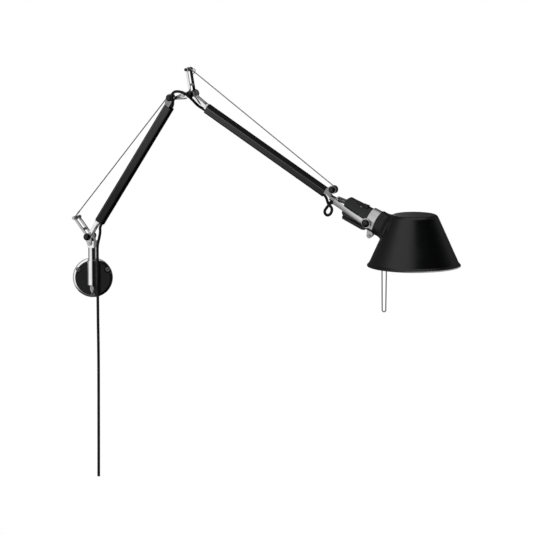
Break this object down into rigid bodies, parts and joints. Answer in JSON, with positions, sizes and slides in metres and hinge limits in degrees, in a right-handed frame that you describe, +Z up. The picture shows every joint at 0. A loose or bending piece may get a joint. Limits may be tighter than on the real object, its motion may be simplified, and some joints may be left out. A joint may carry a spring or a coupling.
{
  "type": "articulating wall lamp",
  "caption": "Wall lamp with a round wall plate, swivel stem, two sprung tube arms with outside wires and a tilting head with a cone shade.",
  "frame": {"origin": "centre of the wall plate's back face, which is on the wall", "axes": "+Z up, +Y into the wall, so the lamp stands out towards -Y; at rest the arms point 25 degrees out from +X"},
  "size_m": [0.6155, 0.3435, 0.6761],
  "materials": {
    "chrome": "bright plated",
    "polished_metal": "polished",
    "black_enamel": "satin black enamel",
    "gloss_black": "gloss black",
    "black_moulding": "fine matt black",
    "steel": "plain steel",
    "brass_bush": "plain brass",
    "white_ceramic": "glazed white",
    "bulb_glass": "frosted glass",
    "black_cord": "smooth black cord sheath"
  },
  "bodies": {
    "wall_mount": {"wall_plate": "chrome", "cover_disc": "gloss_black", "wall_screws": "polished_metal", "pivot_socket": "gloss_black", "socket_bush": "brass_bush", "socket_collar": "chrome", "cord_hanging": "black_cord"},
    "stem": {"stem_shaft": "chrome", "retaining_nut": "chrome", "base_lever": "polished_metal", "base_axle": "steel", "base_washers": "black_moulding", "base_knobs": "black_moulding", "lever_pin": "steel", "lever_screws": "steel", "cord_drop": "black_cord", "cord_swivel": "black_cord"},
    "lower_arm": {"lower_root_fork": "polished_metal", "lower_tube": "black_enamel", "lower_spring": "steel", "lower_wire": "steel", "lower_pulley_axle": "steel", "lower_pulley_caps": "black_moulding", "elbow_casting": "polished_metal", "elbow_axle": "steel", "elbow_washers": "black_moulding", "elbow_knobs": "black_moulding", "mast": "polished_metal", "mast_pin": "steel", "mast_screws": "steel", "cord_elbow": "black_cord"},
    "lower_wheel": {"lower_pulley": "black_moulding"},
    "upper_arm": {"upper_root_fork": "polished_metal", "upper_tube": "black_enamel", "upper_spring": "steel", "upper_wire": "steel", "upper_pulley_axle": "steel", "upper_pulley_caps": "black_moulding", "end_casting": "polished_metal", "fork_screw": "steel", "fork_washer": "black_moulding", "cord_head": "black_cord", "cord_gland": "black_moulding"},
    "upper_wheel": {"upper_pulley": "black_moulding"},
    "fork": {"head_fork": "polished_metal"},
    "holder": {"lamp_holder": "black_moulding", "terminal_cover": "black_moulding", "collar_ring": "polished_metal", "collar_screw": "steel", "tilt_studs": "steel", "tilt_knobs": "black_moulding", "bulb_socket": "white_ceramic", "bulb": "bulb_glass", "switch_pin": "steel"},
    "rocker": {"rocker_switch": "black_moulding"},
    "shade_body": {"shade": "black_enamel", "shade_neck": "black_moulding", "pull_loop": "chrome", "loop_clip": "black_enamel"}
  },
  "joints": [
    {"name": "swivel", "type": "hinge", "parent": "wall_mount", "child": "stem", "pos_m": [0, -0.022, 0.03], "axis": [0, 0, 1], "range_deg": [-145, 15], "deforming": ["cord_swivel"]},
    {"name": "shoulder", "type": "hinge", "parent": "stem", "child": "lower_arm", "pos_m": [-0.00326, -0.02048, 0.0707], "axis": [-0.4226, -0.9063, 0], "range_deg": [-40, 35], "deforming": ["lower_wire", "cord_drop"]},
    {"name": "lower_pulley_turn", "type": "hinge", "parent": "lower_arm", "child": "lower_wheel", "pos_m": [0.13004, -0.08264, 0.30191], "axis": [-0.4226, -0.9063, 0], "range_deg": [-250, 285]},
    {"name": "elbow", "type": "hinge", "parent": "lower_arm", "child": "upper_arm", "pos_m": [0.16522, -0.09904, 0.31], "axis": [-0.4226, -0.9063, 0], "range_deg": [-40, 40], "deforming": ["upper_wire", "cord_elbow"]},
    {"name": "upper_pulley_turn", "type": "hinge", "parent": "upper_arm", "child": "upper_wheel", "pos_m": [0.38629, -0.20213, 0.17121], "axis": [-0.4226, -0.9063, 0], "range_deg": [-236, 236]},
    {"name": "head_swivel", "type": "hinge", "parent": "upper_arm", "child": "fork", "pos_m": [0.38899, -0.20339, 0.1552], "axis": [0.8343, -0.389, -0.3907], "range_deg": [-90, 90]},
    {"name": "head_tilt", "type": "hinge", "parent": "fork", "child": "holder", "pos_m": [0.4453, -0.22965, 0.12883], "axis": [-0.4999, -0.8327, -0.2382], "range_deg": [-60, 60]},
    {"name": "shade_turn", "type": "hinge", "parent": "holder", "child": "shade_body", "pos_m": [0.44989, -0.23179, 0.12668], "axis": [0.8343, -0.389, -0.3907], "range_deg": [-90, 90]},
    {"name": "switch_rock", "type": "hinge", "parent": "holder", "child": "rocker", "pos_m": [0.43211, -0.22778, 0.14998], "axis": [-0.4999, -0.8327, -0.2382], "range_deg": [-5, 5]}
  ],
  "couplings": [
    {"joint": "lower_pulley_turn", "follows": "shoulder", "ratio": -7},
    {"joint": "upper_pulley_turn", "follows": "elbow", "ratio": -5.8}
  ]
}
